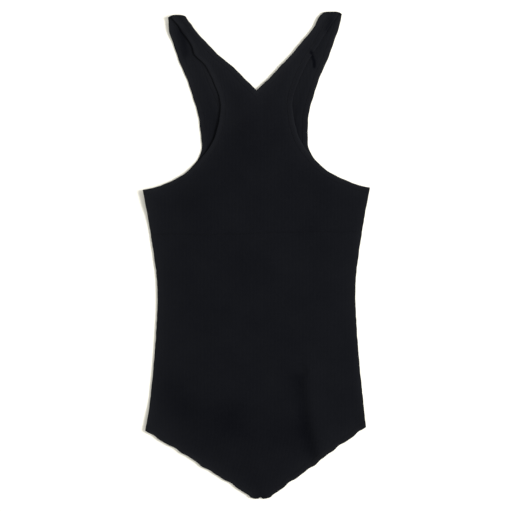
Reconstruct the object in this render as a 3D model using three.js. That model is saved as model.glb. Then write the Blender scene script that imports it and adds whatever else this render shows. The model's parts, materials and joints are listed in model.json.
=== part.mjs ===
// A sleeveless knit leotard laid flat on its back, with its front uppermost.
// X runs across the garment with +X towards the wearer's left, Y runs up the body from the crotch,
// and Z rises from the surface that it lies on. Left and right are the wearer's. Lengths are millimetres.
//
// The two knit panels have every raw edge bound: a folded strip of the same knit wraps the edge and
// holds an elastic on the body side of the panel. Side seams, shoulder seams and a crotch seam join
// front to back. A bust lining with a band of elastic, a crotch lining and two labels lie inside.

import * as THREE from "three";

// Half widths of the flat body, and how far above the crotch each one is.
const hipHalf = 165;
const hipRise = 106;
const waistHalf = 149;
const waistRise = 316;
const underbustHalf = 158.5;
const underbustRise = 397;
const bustHalf = 171;
const underarmRise = 467;
const crotchHalf = 17;

// Necklines, and the straps where they end at the shoulder seam.
const shoulderRise = 729.5;
const frontNeckRise = 616;
const backNeckRise = 520;
const strapInner = 105.5;
const backStrapInner = 108;
const frontStrapMiddle = 7; // the cloth that shows between a strap's two bindings
const backStrapMiddle = 9;

// The narrowest places between the armholes.
const frontChestHalf = 54.5;
const frontChestRise = 592;
const backChestHalf = 80;
const backChestRise = 538;

// Cloth and trimmings.
const knitThickness = 0.9;
const bindingPly = 0.7;
const bindingWidth = 8;
const elasticThickness = 0.6;
const elasticWidth = 5.3;
const liningThickness = 0.6;
const bandThickness = 0.8;
const bandWidth = 12;
const seamWidth = 6.2;
const seamThickness = 1.4;
const seamTurn = 3; // how far a shoulder or crotch seam stands out past the panel ends
const gussetLength = 92;
const careLabel = { long: 40, wide: 28, ply: 0.3, rise: 205 };
const neckLabel = { long: 14, wide: 32, ply: 0.4 };

// Clearances between pieces that touch.
const clothGap = 0.3;
const layerGap = 0.3;
const liningSag = 0.6;

// How the garment lies: the front stands off the back where neither is sewn, the edges of the body
// come down to the side seams, and the whole is a little askew.
const openGap = 4.6;
const openReach = 90;
const bindingClear = 4; // level cloth kept beside a binding
const backSagReach = 24;
const sideDropReach = 44;
const shoulderSway = -3.6;
const backStrapSway = -4.5;
const crotchSway = 6.5;
const bodyLean = 0.0165;
const strapLean = 0.008;

// A strap is as wide as its two bindings and the cloth between them.
const frontStrapOuter = strapInner + 2 * bindingWidth + frontStrapMiddle;
const backStrapOuter = backStrapInner + 2 * bindingWidth + backStrapMiddle;

// A bound edge as a stack of plies, from the side of the layer that is nearer the surface.
const slotStart = bindingPly + clothGap;
const stack = 2 * bindingPly + knitThickness + elasticThickness + 3 * clothGap;
const backPanelLevel = slotStart;
const backElasticLevel = slotStart + knitThickness + clothGap;
const frontElasticLevel = slotStart;
const frontPanelLevel = slotStart + elasticThickness + clothGap;
const frontRest = stack + layerGap;
const seamTop = frontRest + stack;
const sideMeeting = knitThickness + clothGap + seamThickness + clothGap;
const panelInset = bindingPly + layerGap;
const elasticInset = panelInset;
const liningInset = bindingWidth + layerGap;

const point = (x, y) => new THREE.Vector2(x, y);
const smooth = (t) => THREE.MathUtils.smoothstep(t, 0, 1);
// A rise from nought that eases off to 1.
const arch = (t) => (t < 1 ? t * (2 - t) : 1);
const bezier = (a, b, c, d, steps) => new THREE.CubicBezierCurve(a, b, c, d).getPoints(steps);

// Outlines of the wearer's left half, each listed from its lower end up.
const panelFoot = seamTurn;
const legLine = bezier(
  point(crotchHalf, panelFoot), point(crotchHalf + 52, panelFoot + 38),
  point(hipHalf - 60, hipRise - 40), point(hipHalf, hipRise), 11);
const sideLine = new THREE.SplineCurve([
  point(hipHalf, hipRise), point((2 * waistHalf + hipHalf) / 3, (hipRise + waistRise) / 2),
  point(waistHalf, waistRise), point(underbustHalf, underbustRise), point(bustHalf, underarmRise),
]).getPoints(12);

function armholeLine(chestHalf, chestRise, strapOuter, lowerPull, upperPull, strapPull) {
  const lower = bezier(
    point(bustHalf, underarmRise), point(bustHalf - 62, underarmRise + 12),
    point(chestHalf, chestRise - lowerPull), point(chestHalf, chestRise), 9);
  const upper = bezier(
    point(chestHalf, chestRise), point(chestHalf, chestRise + upperPull),
    point(strapOuter - strapPull.x, shoulderRise - strapPull.y), point(strapOuter, shoulderRise), 8);
  return [...lower, ...upper.slice(1)];
}

const frontArmhole = armholeLine(
  frontChestHalf, frontChestRise, frontStrapOuter, 68, 38, point(35, 50));
const backArmhole = armholeLine(
  backChestHalf, backChestRise, backStrapOuter, 26, 80, point(15, 75));
const frontNeck = new THREE.QuadraticBezierCurve(
  point(0, frontNeckRise), point(strapInner - 38, shoulderRise - 52), point(strapInner, shoulderRise),
).getPoints(9);
const backNeck = bezier(
  point(0, backNeckRise), point(30, backNeckRise),
  point(backStrapInner - 52, shoulderRise - 76), point(backStrapInner, shoulderRise), 11);

// The way into the cloth at each point of an outline, so that point + way * distance lies that far
// inside the edge. The cloth is on the side given by turn, and the ends follow the given directions.
function boundEdge(points, turn, firstWay, lastWay) {
  const normals = points.slice(1).map((p, i) => {
    const along = p.clone().sub(points[i]).normalize();
    return point(-along.y * turn, along.x * turn);
  });
  return points.map((at, i) => {
    const before = normals[Math.max(i - 1, 0)];
    const after = normals[Math.min(i, normals.length - 1)];
    let way = before.clone().add(after).normalize();
    if (i === 0) way = firstWay.clone();
    if (i === points.length - 1) way = lastWay.clone();
    return { at, way: way.divideScalar(way.dot(i === 0 ? after : before)) };
  });
}

const inset = (edge, distance) =>
  edge.map(({ at, way }) => at.clone().addScaledVector(way, distance));
const inwards = point(-1, 0);
const outwards = point(1, 0);
const directionOf = (from, to) => to.clone().sub(from).normalize();
const upSide = directionOf(sideLine[0], sideLine[1]);
const downSide = directionOf(sideLine.at(-1), sideLine.at(-2));

const legEdge = boundEdge(legLine, 1, inwards, upSide);
const frontArmholeEdge = boundEdge(frontArmhole, 1, downSide, inwards);
const backArmholeEdge = boundEdge(backArmhole, 1, downSide, inwards);
const frontNeckEdge = boundEdge(frontNeck, -1, point(0, -1), outwards);
const backNeckEdge = boundEdge(backNeck, -1, point(0, -1), outwards);

// Distance from (x, y) to a polyline, on the half of the garment where x is not negative.
function distanceTo(points, x, y) {
  const place = new THREE.Vector3(Math.abs(x), y, 0);
  const nearest = new THREE.Vector3();
  const segment = new THREE.Line3();
  let least = Infinity;
  points.slice(1).forEach((p, i) => {
    segment.start.set(points[i].x, points[i].y, 0);
    segment.end.set(p.x, p.y, 0);
    segment.closestPointToPoint(place, true, nearest);
    least = Math.min(least, nearest.distanceTo(place));
  });
  return least;
}

const shoulderLine = [point(strapInner, shoulderRise), point(backStrapOuter, shoulderRise)];
const crotchLine = [point(0, panelFoot), point(crotchHalf, panelFoot)];
const sewn = (x, y) =>
  Math.min(...[sideLine, shoulderLine, crotchLine].map((line) => distanceTo(line, x, y)));
const frontBound = (x, y) =>
  Math.min(...[legLine, frontArmhole, frontNeck].map((line) => distanceTo(line, x, y)));
const backBound = (x, y) =>
  Math.min(...[legLine, backArmhole, backNeck].map((line) => distanceTo(line, x, y)));

// Undersides of the two layers' bindings and panels.
const backBase = () => 0;
const frontBase = (x, y) => frontRest + openGap * arch(sewn(x, y) / openReach);
function backPanelZ(x, y) {
  const past = backBound(x, y) - bindingWidth - bindingClear;
  return backPanelLevel * (1 - smooth(past / backSagReach));
}
function frontPanelZ(x, y) {
  const level = frontBase(x, y) + frontPanelLevel;
  const atSeam = backPanelZ(x, y) + sideMeeting;
  const nearSide = 1 - arch(distanceTo(sideLine, x, y) / sideDropReach);
  const past = frontBound(x, y) - bindingWidth - bindingClear;
  return THREE.MathUtils.lerp(level, atSeam, nearSide * smooth(past / sideDropReach));
}

// The garment's slight skew as it lies. Only the back straps take the extra sway.
function lay(geometry, ofBack) {
  const position = geometry.getAttribute("position");
  for (let i = 0; i < position.count; i++) {
    const x = position.getX(i);
    const y = position.getY(i);
    const up = (y - underarmRise) / (shoulderRise - underarmRise);
    const strap = THREE.MathUtils.clamp(up, 0, 1);
    const bow = ofBack ? backStrapSway * Math.sin(Math.PI * strap) ** 2 : 0;
    const sway = shoulderSway * smooth(2 * up - 1) + crotchSway * smooth(1 - y / hipRise) + bow;
    position.setX(i, x + sway);
    position.setY(i, y + x * (bodyLean + strapLean * smooth(up)));
  }
  return geometry;
}

function closedGeometry(corners, faces) {
  const geometry = new THREE.BufferGeometry();
  geometry.setAttribute("position", new THREE.Float32BufferAttribute(corners.flat(), 3));
  const volume = faces.reduce((sum, [a, b, c]) => {
    const [p, q, r] = [a, b, c].map((i) => new THREE.Vector3(...corners[i]));
    return sum + p.dot(q.cross(r));
  }, 0);
  geometry.setIndex((volume < 0 ? faces.map(([a, b, c]) => [a, c, b]) : faces).flat());
  return geometry;
}

// A strip that follows a bound edge, with a section of [inset, height] corners. It stands on base,
// taken straight across the width of a binding so that everything in one binding tilts together.
function strip(edge, section, base) {
  const corners = edge.flatMap(({ at, way }) => {
    const foot = at.clone().addScaledVector(way, bindingWidth);
    return section.map(([distance, height]) => {
      const share = distance / bindingWidth;
      const p = at.clone().lerp(foot, share);
      return [p.x, p.y, THREE.MathUtils.lerp(base(at.x, at.y), base(foot.x, foot.y), share) + height];
    });
  });
  const n = section.length;
  const faces = [];
  for (let i = 0; i < edge.length - 1; i++) {
    for (let j = 0; j < n; j++) {
      const [a, b] = [i * n + j, i * n + ((j + 1) % n)];
      faces.push([a, b, b + n], [a, b + n, a + n]);
    }
  }
  const last = (edge.length - 1) * n;
  const cap = THREE.ShapeUtils.triangulateShape(section.map(([u, w]) => point(u, w)), []);
  cap.forEach(([a, b, c]) => faces.push([a, c, b], [last + a, last + b, last + c]));
  return closedGeometry(corners, faces);
}

const bindingSection = [
  [0, 0], [bindingWidth, 0], [bindingWidth, bindingPly], [bindingPly, bindingPly],
  [bindingPly, stack - bindingPly], [bindingWidth, stack - bindingPly], [bindingWidth, stack],
  [0, stack],
];
const elasticSection = (level) => [
  [elasticInset, level], [elasticInset + elasticWidth, level],
  [elasticInset + elasticWidth, level + elasticThickness],
  [elasticInset, level + elasticThickness],
];

const mirrored = (edge) =>
  edge.map(({ at, way }) => ({ at: point(-at.x, at.y), way: point(-way.x, way.y) }));
// A neck edge right round, from the wearer's right shoulder by the centre to the left one.
const acrossCentre = (edge) => [...mirrored(edge).reverse(), ...edge.slice(1)];

// Where a polyline that rises steadily crosses the height y.
function crossing(points, y) {
  const i = points.findIndex((p, k) => k > 0 && p.y >= y - 1e-6);
  const [low, high] = [points[i - 1], points[i]];
  const share = (y - low.y) / Math.max(high.y - low.y, 1e-9);
  return THREE.MathUtils.lerp(low.x, high.x, THREE.MathUtils.clamp(share, 0, 1));
}

// Even steps from just after the first value up to the last, none longer than longest.
function stepsBetween(first, last, longest) {
  const count = Math.ceil((last - first) / longest);
  return Array.from({ length: count }, (_, i) => first + ((last - first) * (i + 1)) / count);
}

// Cloth between an outer outline and either the centre line or an inner outline that starts there,
// on both halves of the garment. It is meshed in level rows, and stands on underside(x, y).
const columns = [0, 0.22, 0.44, 0.62, 0.77, 0.88, 0.95, 1];
const leastRow = 1.5;
const longestRow = 14;
function cloth(outer, inner, thickness, underside, across = columns) {
  const ends = [outer[0].y, outer.at(-1).y, ...(inner ? [inner[0].y] : [])];
  const rows = [...outer, ...(inner ?? [])]
    .map((p) => p.y)
    .filter((y) => ends.every((end) => Math.abs(y - end) > leastRow))
    .concat(ends)
    .sort((a, b) => a - b)
    .filter((y, i, all) => i === 0 || ends.includes(y) || y - all[i - 1] > leastRow)
    .filter((y, i, all) => y !== all[i - 1])
    .flatMap((y, i, all) => (i === 0 ? [y] : stepsBetween(all[i - 1], y, longestRow)));
  const corners = [];
  const known = new Map();
  const corner = (x, y) => {
    const key = `${x.toFixed(3)},${y.toFixed(3)}`;
    if (!known.has(key)) {
      known.set(key, corners.length);
      corners.push([x, y, underside(x, y)]);
    }
    return known.get(key);
  };
  const rowOf = (y, half) => {
    const start = inner && y > inner[0].y ? crossing(inner, y) : 0;
    const stop = crossing(outer, y);
    return across.map((t) => corner(half * THREE.MathUtils.lerp(start, stop, t), y));
  };
  const faces = [];
  for (const half of [1, -1]) {
    for (let r = 1; r < rows.length; r++) {
      const [low, high] = [rowOf(rows[r - 1], half), rowOf(rows[r], half)];
      for (let j = 1; j < across.length; j++) {
        const cell = [[low[j - 1], low[j], high[j]], [low[j - 1], high[j], high[j - 1]]];
        faces.push(...(half > 0 ? cell : cell.map(([a, b, c]) => [a, c, b])));
      }
    }
  }
  return thickened(corners, faces.filter(([a, b, c]) => a !== b && b !== c && a !== c), thickness);
}

function thickened(corners, faces, thickness) {
  const n = corners.length;
  const both = [...corners, ...corners.map(([x, y, z]) => [x, y, z + thickness])];
  const open = new Map();
  for (const [a, b, c] of faces) {
    for (const [p, q] of [[a, b], [b, c], [c, a]]) {
      if (!open.delete(`${q},${p}`)) open.set(`${p},${q}`, [p, q]);
    }
  }
  const walls = [...open.values()].flatMap(([p, q]) => [[p, q, q + n], [p, q + n, p + n]]);
  const undersides = faces.map(([a, b, c]) => [a, c, b]);
  const tops = faces.map((face) => face.map((i) => i + n));
  return closedGeometry(both, [...undersides, ...tops, ...walls]);
}

// The turn of a seam at the end of a strap or at the crotch: a half round across the cloth's end,
// standing out up the body (turned 0) or down it (turned half a turn).
function seamEnd(fromX, toX, atY, turned) {
  const round = new THREE.Shape();
  round.absellipse(0, seamTop / 2, seamTurn - layerGap, seamTop / 2, -Math.PI / 2, Math.PI / 2);
  round.closePath();
  const width = toX - fromX;
  return new THREE.ExtrudeGeometry(round, { depth: width, bevelEnabled: false, curveSegments: 8 })
    .rotateY(Math.PI / 2)
    .rotateX(Math.PI / 2)
    .translate(-width / 2, layerGap, 0)
    .rotateZ(turned)
    .translate(fromX + width / 2, atY, 0);
}

const knit = new THREE.MeshStandardMaterial({ color: 0x141517, roughness: 0.92, metalness: 0 });
const trim = new THREE.MeshStandardMaterial({ color: 0x121315, roughness: 0.9, metalness: 0 });
const rubber = new THREE.MeshStandardMaterial({ color: 0x1b1b1c, roughness: 0.75, metalness: 0 });
const cotton = new THREE.MeshStandardMaterial({ color: 0x17181a, roughness: 0.95, metalness: 0 });
const thread = new THREE.MeshStandardMaterial({ color: 0x101113, roughness: 0.7, metalness: 0 });
const satin = new THREE.MeshStandardMaterial({ color: 0x202123, roughness: 0.45, metalness: 0 });

const garment = new THREE.Group();
function add(name, geometry, material, ofBack = false) {
  const mesh = new THREE.Mesh(lay(geometry, ofBack), material);
  mesh.name = name;
  garment.add(mesh);
}

// The two panels.
const legInset = inset(legEdge, panelInset);
const frontOutline = [
  ...legInset, ...sideLine.slice(1, -1), ...inset(frontArmholeEdge, panelInset)];
const backOutline = [
  ...legInset, ...sideLine.slice(1, -1), ...inset(backArmholeEdge, panelInset)];
add("front_panel", cloth(frontOutline, inset(frontNeckEdge, panelInset), knitThickness, frontPanelZ),
  knit);
add("back_panel", cloth(backOutline, inset(backNeckEdge, panelInset), knitThickness, backPanelZ),
  knit, true);

// The bound edges: a strip of knit and the elastic in it.
const bound = [
  ["front_neck", acrossCentre(frontNeckEdge), false],
  ["back_neck", acrossCentre(backNeckEdge), true],
];
for (const [side, of] of [["left", (edge) => edge], ["right", mirrored]]) {
  bound.push(
    [`${side}_front_armhole`, of(frontArmholeEdge), false],
    [`${side}_back_armhole`, of(backArmholeEdge), true],
    [`${side}_front_leg`, of(legEdge), false],
    [`${side}_back_leg`, of(legEdge), true],
  );
}
for (const [name, edge, ofBack] of bound) {
  const base = ofBack ? backBase : frontBase;
  const level = ofBack ? backElasticLevel : frontElasticLevel;
  add(`${name}_binding`, strip(edge, bindingSection, base), trim, ofBack);
  add(`${name}_elastic`, strip(edge, elasticSection(level), base), rubber, ofBack);
}

// Inside the front: the bust lining down to its band of elastic, and the crotch lining.
const bandFoot = underbustRise - bandWidth / 2;
const bandTop = underbustRise + bandWidth / 2;
const sideInset = seamWidth + 3 * layerGap;
const shifted = (points, dx) => points.map((p) => point(p.x - dx, p.y));
const atHeight = (points, y) => point(crossing(points, y), y);
const liningSide = shifted(sideLine, sideInset);
const liningArmhole = inset(frontArmholeEdge, liningInset);
const pastSide = (p) => p.x - crossing(liningSide, Math.min(p.y, underarmRise));
const firstInside = liningArmhole.findIndex((p) => pastSide(p) < 0);
const [lastPast, firstKept] = [liningArmhole[firstInside - 1], liningArmhole[firstInside]];
const liningCorner = lastPast.clone()
  .lerp(firstKept, pastSide(lastPast) / (pastSide(lastPast) - pastSide(firstKept)));
const bandOutline = [atHeight(liningSide, bandFoot),
  ...liningSide.filter((p) => p.y > bandFoot && p.y < bandTop), atHeight(liningSide, bandTop)];
const bustOutline = [...bandOutline,
  ...liningSide.filter((p) => p.y > bandTop && p.y < liningCorner.y),
  liningCorner, ...liningArmhole.slice(firstInside)];
const underLining = (x, y) => frontPanelZ(x, y) - liningSag - liningThickness;
const underBand = (x, y) => underLining(x, y) - clothGap - bandThickness;
add("bust_lining", cloth(bustOutline, inset(frontNeckEdge, liningInset), liningThickness, underLining),
  cotton);
add("underbust_elastic", cloth(bandOutline, null, bandThickness, underBand), rubber);

const gussetSide = inset(legEdge, liningInset).filter((p) => p.y < gussetLength);
add("gusset_lining", cloth(gussetSide, null, liningThickness, underLining), cotton);

// Seams: the overlocked allowance inside each side, and the turned ends at the shoulders and crotch.
const seamClear = bindingWidth + bindingClear;
const seamOuter = shifted(
  [hipRise + seamClear, ...sideLine.map((p) => p.y), underarmRise - seamClear]
    .filter((y) => y >= hipRise + seamClear && y <= underarmRise - seamClear)
    .map((y) => atHeight(sideLine, y)), layerGap);
for (const [side, half] of [["left", 1], ["right", -1]]) {
  const lineUp = seamOuter.map((p) => ({ at: point(half * p.x, p.y), way: point(-half, 0) }));
  const section = [[0, 0], [seamWidth, 0], [seamWidth, seamThickness], [0, seamThickness]];
  add(`${side}_side_seam`, strip(lineUp, section, (x, y) => backPanelZ(x, y) + knitThickness + clothGap),
    thread);
  const [from, to] = half > 0 ? [strapInner, backStrapOuter] : [-backStrapOuter, -strapInner];
  add(`${side}_shoulder_seam`, seamEnd(from, to, shoulderRise, 0), thread);
}
add("crotch_seam", seamEnd(-crotchHalf, crotchHalf, panelFoot, Math.PI), thread);

// Labels: a folded one at the left side seam, and a flat one under the back neck binding.
const labelTop = careLabel.rise + careLabel.wide / 2;
const labelX = Math.min(crossing(sideLine, labelTop), crossing(sideLine, labelTop - careLabel.wide))
  - sideInset;
const labelFloor = knitThickness + clothGap;
const loop = new THREE.Shape([
  point(0, 0), point(careLabel.long, 0), point(careLabel.long, careLabel.ply),
  point(careLabel.ply, careLabel.ply), point(careLabel.ply, careLabel.ply + clothGap),
  point(careLabel.long, careLabel.ply + clothGap), point(careLabel.long, 2 * careLabel.ply + clothGap),
  point(0, 2 * careLabel.ply + clothGap)]);
add("care_label",
  new THREE.ExtrudeGeometry(loop, { depth: careLabel.wide, bevelEnabled: false })
    .rotateX(Math.PI / 2)
    .translate(labelX - careLabel.long, labelTop, labelFloor), satin);
const neckLabelTop = backNeckRise - bindingWidth - layerGap;
add("neck_label",
  cloth([point(neckLabel.wide / 2, neckLabelTop - neckLabel.long), point(neckLabel.wide / 2, neckLabelTop)],
    null, neckLabel.ply, (x, y) => backPanelZ(x, y) + knitThickness + clothGap, [0, 0.5, 1]),
  satin, true);

// The origin is the middle of the underside.
const extent = new THREE.Box3().setFromObject(garment);
const middle = extent.getCenter(new THREE.Vector3());
garment.position.set(-middle.x, -middle.y, -extent.min.z);

const leotard = new THREE.Group();
leotard.add(garment);
export default leotard;
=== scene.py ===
"""Builds the finished look of a sleeveless rib-knit leotard laid flat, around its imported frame.

Every knit panel, binding, elastic, lining, seam and label of the frame is made again as fine cloth.
Lengths are metres. X runs across the garment to the wearer's left, Y up the body and Z up.
"""
import json
import math

import bpy
import numpy as np
from bpy.props import FloatProperty, FloatVectorProperty, IntProperty, PointerProperty
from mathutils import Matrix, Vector

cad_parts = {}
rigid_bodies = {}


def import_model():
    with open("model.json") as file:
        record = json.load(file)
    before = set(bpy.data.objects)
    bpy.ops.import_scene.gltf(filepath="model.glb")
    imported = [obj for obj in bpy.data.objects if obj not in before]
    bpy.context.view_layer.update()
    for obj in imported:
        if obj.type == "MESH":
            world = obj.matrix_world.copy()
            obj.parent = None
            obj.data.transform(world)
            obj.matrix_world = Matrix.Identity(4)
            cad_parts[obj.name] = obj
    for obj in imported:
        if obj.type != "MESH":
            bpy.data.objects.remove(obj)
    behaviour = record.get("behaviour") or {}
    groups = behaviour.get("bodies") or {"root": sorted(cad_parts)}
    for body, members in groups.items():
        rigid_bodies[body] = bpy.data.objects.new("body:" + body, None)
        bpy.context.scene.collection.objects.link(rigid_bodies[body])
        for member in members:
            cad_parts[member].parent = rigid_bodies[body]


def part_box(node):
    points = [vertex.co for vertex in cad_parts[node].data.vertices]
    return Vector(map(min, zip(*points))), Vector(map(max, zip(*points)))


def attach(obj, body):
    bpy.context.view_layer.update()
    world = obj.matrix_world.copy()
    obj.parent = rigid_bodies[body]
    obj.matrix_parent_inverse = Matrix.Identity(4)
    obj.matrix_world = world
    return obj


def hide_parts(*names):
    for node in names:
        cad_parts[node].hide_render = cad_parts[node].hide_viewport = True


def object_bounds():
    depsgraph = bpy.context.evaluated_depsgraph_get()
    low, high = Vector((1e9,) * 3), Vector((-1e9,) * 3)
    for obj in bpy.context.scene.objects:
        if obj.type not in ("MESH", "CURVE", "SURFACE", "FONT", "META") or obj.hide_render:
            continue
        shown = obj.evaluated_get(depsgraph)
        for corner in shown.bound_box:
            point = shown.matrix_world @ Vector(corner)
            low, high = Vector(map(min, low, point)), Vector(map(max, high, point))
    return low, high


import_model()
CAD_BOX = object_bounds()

bl_info = {
    "name": "Rib-Knit Leotard",
    "version": (1, 0, 0),
    "blender": (4, 5, 0),
    "location": "View3D > Sidebar > Leotard",
    "description": "Models a bound-edge knit leotard laid flat on a plain floor",
    "category": "Object",
}

MM = 0.001

# Half widths of the flat body, and how far above the crotch each one is.
HIP = (165 * MM, 106 * MM)
WAIST = (149 * MM, 316 * MM)
UNDERBUST = (158.5 * MM, 397 * MM)
UNDERARM = (171 * MM, 467 * MM)
CROTCH_HALF = 17 * MM

# Necklines, straps and the narrowest places between the armholes.
SHOULDER_RISE = 729.5 * MM
FRONT_NECK_RISE = 616 * MM
BACK_NECK_RISE = 520 * MM
STRAP_INNER = 105.5 * MM
FRONT_STRAP_OUTER = 128.5 * MM
BACK_STRAP_INNER = 108 * MM
BACK_STRAP_OUTER = 133 * MM
FRONT_CHEST = (54.5 * MM, 592 * MM)
BACK_CHEST = (80 * MM, 538 * MM)

# Cloth and trimmings.
KNIT = 0.9 * MM
PLY = 0.7 * MM
BINDING = 8 * MM
ELASTIC = 0.6 * MM
ELASTIC_WIDTH = 5.3 * MM
LINING = 0.6 * MM
LINING_SAG = 0.6 * MM
BAND = 0.8 * MM
BAND_WIDTH = 12 * MM
SEAM_WIDTH = 6.2 * MM
SEAM = 1.4 * MM
SEAM_TURN = 3 * MM
GUSSET_LENGTH = 92 * MM
CUT_GAP = 0.3 * MM
GAP = 0.06 * MM

# How the garment lies: levels of its layers, the space between them and its slight skew.
OPEN_GAP = 2.3 * MM
OPEN_REACH = 90 * MM
BINDING_CLEAR = 4 * MM
BACK_SAG_REACH = 24 * MM
SIDE_DROP_REACH = 44 * MM
SHOULDER_SWAY = -3.6 * MM
BACK_STRAP_SWAY = -4.5 * MM
CROTCH_SWAY = 6.5 * MM
BODY_LEAN = 0.0165
STRAP_LEAN = 0.008
STRAP_WIDTH = BACK_STRAP_OUTER - STRAP_INNER
STRAP_MIDDLE = (BACK_STRAP_OUTER + STRAP_INNER) / 2

# What is pulled about on the wearer's right, the narrowed crotch, and what stands off the floor.
CORNER_REACH = 24 * MM
HIP_PULL = 2.4 * MM
UNDERARM_PULL = 2 * MM
STRAP_RUCK = 3.4 * MM
NECK_TUCK = 4.2 * MM
CROTCH_REACH = 36 * MM
CROTCH_NARROWING = 0.06
CROTCH_RISE = 1.0 * MM
SIDE_OFF_FLOOR = 1.1 * MM
UNDERARM_OFF_FLOOR = 3.4 * MM
STRAP_OFF_FLOOR = 5.5 * MM

ELASTIC_LEVEL = PLY + GAP
PANEL_LEVEL = ELASTIC_LEVEL + ELASTIC + GAP
STACK = 2 * PLY + KNIT + ELASTIC + 3 * GAP
FRONT_REST = STACK + GAP
SEAM_TOP = FRONT_REST + STACK
SIDE_MEETING = KNIT + GAP + SEAM + GAP
EDGE_LIFT = 0.5 * MM
EDGE_LIFT_REACH = 3.5 * MM
EDGE_ROLL = SIDE_MEETING - KNIT - EDGE_LIFT - 0.1 * MM
EDGE_ROLL_REACH = 3.6 * MM
PANEL_INSET = PLY + CUT_GAP
LINING_INSET = BINDING + CUT_GAP

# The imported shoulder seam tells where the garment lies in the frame.
SEAM_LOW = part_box("left_shoulder_seam")[0]
PLACE = np.array([
    SEAM_LOW.x - STRAP_INNER - SHOULDER_SWAY,
    SEAM_LOW.y - SHOULDER_RISE - CUT_GAP - STRAP_INNER * (BODY_LEAN + STRAP_LEAN),
])


class LeotardKnit(bpy.types.PropertyGroup):
    """Colour and pattern of the rib knit"""

    # The darker end of the knit's colour; painted shade in the rib furrows, creases and pockets reaches
    # it fully.
    colour: FloatVectorProperty(
        name="Knit", description="Deepest colour of the knit, in its hollows",
        subtype="COLOR", size=3, min=0, max=1, default=(0.0004, 0.0007, 0.0022))
    # The paler end of the knit's colour, reached by painted sheen along the edges and sides, by the
    # paler straps and by random paler patches.
    sheen_and_pale_colour: FloatVectorProperty(
        name="Sheen and Paler Knit", description="Paler colour of the knit along edges and straps",
        subtype="COLOR", size=3, min=0, max=1, default=(0.0096, 0.0104, 0.0132))
    rib: FloatProperty(
        name="Rib", description="Width of one rib and its furrow",
        subtype="DISTANCE", unit="LENGTH", default=2.1 * MM, min=0.5 * MM, max=10 * MM)
    course: FloatProperty(
        name="Course", description="Height of one row of stitches",
        subtype="DISTANCE", unit="LENGTH", default=1.35 * MM, min=0.3 * MM, max=10 * MM)
    rib_depth: FloatProperty(
        name="Rib Depth", description="How far the ribs stand out",
        subtype="DISTANCE", unit="LENGTH", default=0.35 * MM, min=0, max=2 * MM)


class LeotardLay(bpy.types.PropertyGroup):
    """How the garment lies and how finely it is made"""

    fold: FloatProperty(
        name="Fold", description="Height of the tallest soft fold",
        subtype="DISTANCE", unit="LENGTH", default=4.4 * MM, min=0, max=8 * MM)
    ripple: FloatProperty(
        name="Ripple", description="Height of the gentle unevenness all over",
        subtype="DISTANCE", unit="LENGTH", default=0.45 * MM, min=0, max=2 * MM)
    edge_wave: FloatProperty(
        name="Edge Wave", description="How far the bound edges wander from a fair line",
        subtype="DISTANCE", unit="LENGTH", default=0.8 * MM, min=0, max=3 * MM)
    step: FloatProperty(
        name="Step", description="Distance between rows of the cloth mesh along its outline",
        subtype="DISTANCE", unit="LENGTH", default=3.2 * MM, min=1 * MM, max=20 * MM)
    stitch: FloatProperty(
        name="Stitch", description="Distance between one visible stitch and the next",
        subtype="DISTANCE", unit="LENGTH", default=2.9 * MM, min=1 * MM, max=10 * MM)
    columns: IntProperty(
        name="Columns", description="Columns of cloth mesh in each half of a panel",
        default=46, min=8, max=120)


class LeotardStage(bpy.types.PropertyGroup):
    """Floor, lights and camera"""

    floor_colour: FloatVectorProperty(
        name="Floor", description="Colour of the plain floor",
        subtype="COLOR", size=3, min=0, max=1, default=(0.93, 0.92, 0.86))
    key_power: FloatProperty(
        name="Key Light", description="Power of the soft light from the right, in watts",
        default=72, min=0, max=1000)
    fill: FloatProperty(
        name="Fill", description="Strength of the light from all round",
        default=0.8, min=0, max=5)
    lens: FloatProperty(
        name="Lens", description="Focal length of the camera, in millimetres",
        default=85, min=20, max=300)
    margin: FloatProperty(
        name="Margin", description="Width of the view over the garment's own length",
        default=1.044, min=1, max=3)


# ---------------------------------------------------------------- outlines of the cut pieces


def smooth(t):
    """A rise from nought to 1 that eases in and off."""
    t = np.clip(t, 0, 1)
    return t * t * (3 - 2 * t)


def arch(t):
    """A rise from nought that eases off to 1."""
    t = np.clip(t, 0, 1)
    return t * (2 - t)


def bell(t):
    """1 at nought, fading away to each side."""
    return np.exp(-t * t)


def bezier(a, b, c, d, count=120):
    """A curve from a to d that sets out towards b and comes in from c."""
    a, b, c, d = (np.array(p) for p in (a, b, c, d))
    t = np.linspace(0, 1, count)[:, None]
    return (1 - t) ** 3 * a + 3 * (1 - t) ** 2 * t * b + 3 * (1 - t) * t * t * c + t ** 3 * d


def through(points, count=40):
    """A smooth line through the points, count steps from each to the next."""
    points = np.array(points)
    last = len(points) - 1
    line = [points[:1]]
    for i in range(last):
        p0, p1, p2, p3 = (points[min(max(k, 0), last)] for k in (i - 1, i, i + 1, i + 2))
        t = np.linspace(0, 1, count + 1)[1:, None]
        v1, v2 = (p2 - p0) / 2, (p3 - p1) / 2
        line.append((2 * p1 - 2 * p2 + v1 + v2) * t ** 3
                    + (-3 * p1 + 3 * p2 - 2 * v1 - v2) * t ** 2 + v1 * t + p1)
    return np.concatenate(line)


def run_of(line):
    """Distance along a line at each of its points."""
    return np.concatenate([[0], np.cumsum(np.linalg.norm(np.diff(line, axis=0), axis=1))])


def spaced(line, step):
    """The line with its points about a step apart."""
    run = run_of(line)
    at = np.linspace(0, run[-1], max(int(round(run[-1] / step)), 2) + 1)
    return np.stack([np.interp(at, run, line[:, k]) for k in (0, 1)], axis=1)


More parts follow.
